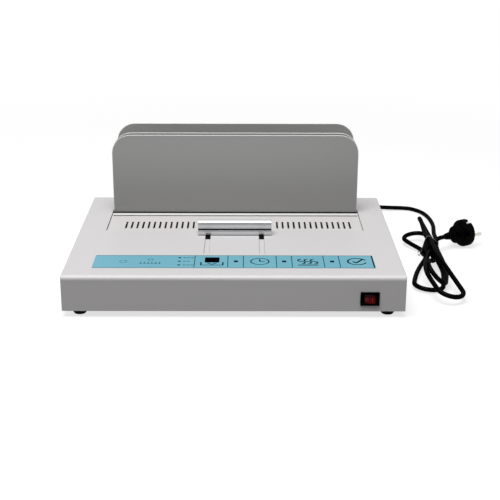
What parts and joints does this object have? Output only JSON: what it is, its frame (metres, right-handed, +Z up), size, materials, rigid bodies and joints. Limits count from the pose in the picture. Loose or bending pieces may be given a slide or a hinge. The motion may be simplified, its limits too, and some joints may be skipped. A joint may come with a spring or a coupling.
{
  "type": "thermal binding machine",
  "caption": "Desktop thermal binding machine: flat white steel housing, upright clamp plates over a hot trough, sliding pull handle, blue panel, power rocker and mains lead.",
  "frame": {"origin": "on the surface that the feet stand on, under the middle of the machine's box, measured without its lead", "axes": "+X to the right seen from the front, +Y to the rear, +Z up"},
  "size_m": [0.5414, 0.4276, 0.1578],
  "materials": {
    "powder_coat": "white-grey textured powder coat",
    "plate_coat": "warm white textured powder coat",
    "zinc_sheet": "zinc plated sheet",
    "bright_steel": "bright plated steel",
    "brushed_aluminium": "satin anodised",
    "nickel": "nickel plated",
    "rubber": "moulded black rubber",
    "black_plastic": "moulded black plastic, fine grain",
    "rocker_red": "dark red translucent plastic, polished",
    "nylon": "natural nylon",
    "mica": "pressed mica sheet",
    "insulation": "calcium silicate board",
    "circuit_green": "green solder mask on glass-fibre board",
    "lamp": "clear coloured lens",
    "laminations": "varnished iron laminations and winding",
    "panel_blue": "printed polyester overlay, satin",
    "cord_black": "black flexible sheath, slight gloss",
    "tie_black": "plastic-covered wire tie"
  },
  "bodies": {
    "machine": {"top_cover": "powder_coat", "bottom_pan": "zinc_sheet", "foot_front_left": "rubber", "foot_front_right": "rubber", "foot_rear_left": "rubber", "foot_rear_right": "rubber", "foot_screw_front_left": "bright_steel", "foot_screw_front_right": "bright_steel", "foot_screw_rear_left": "bright_steel", "foot_screw_rear_right": "bright_steel", "cover_screw_left_front": "bright_steel", "cover_screw_left_rear": "bright_steel", "cover_screw_right_front": "bright_steel", "cover_screw_right_rear": "bright_steel", "middle_plate": "plate_coat", "middle_plate_screw_left": "bright_steel", "middle_plate_screw_right": "bright_steel", "rear_plate": "plate_coat", "rear_plate_screw_left": "bright_steel", "rear_plate_screw_right": "bright_steel", "slide_rail_left": "nylon", "slide_rail_right": "nylon", "heater_plate": "brushed_aluminium", "heater_element": "mica", "insulation_board": "insulation", "heater_bridge": "bright_steel", "thermostat": "nickel", "thermal_fuse": "nickel", "control_panel": "panel_blue", "circuit_board": "circuit_green", "indicator_light_1": "lamp", "indicator_light_2": "lamp", "indicator_light_3": "lamp", "board_spacer_front_left": "nylon", "board_spacer_front_right": "nylon", "board_spacer_rear_left": "nylon", "board_spacer_rear_right": "nylon", "relay": "black_plastic", "buzzer": "black_plastic", "transformer": "laminations", "terminal_block": "nylon", "mains_wire": "cord_black", "switch_wire": "cord_black", "switch_housing": "black_plastic", "strain_relief": "cord_black", "cord_lead": "cord_black", "cord_hank": "cord_black", "cord_tail": "cord_black", "cord_tie": "tie_black", "plug_body": "cord_black", "plug_pin_left": "nickel", "plug_pin_right": "nickel"},
    "clamp_carriage": {"slide_plate": "powder_coat", "clamp_foot": "powder_coat", "front_plate": "plate_coat", "handle_bar": "brushed_aluminium", "handle_post_left": "black_plastic", "handle_post_right": "black_plastic"},
    "power_rocker": {"rocker": "rocker_red"}
  },
  "joints": [
    {"name": "clamp_slide", "type": "slide", "parent": "machine", "child": "clamp_carriage", "axis": [0, -1, 0], "range_m": [0, 0.05]},
    {"name": "power_switch", "type": "hinge", "parent": "machine", "child": "power_rocker", "pos_m": [0.158, -0.15714, 0.0238], "axis": [0, 0, 1], "range_deg": [0, 20]}
  ]
}
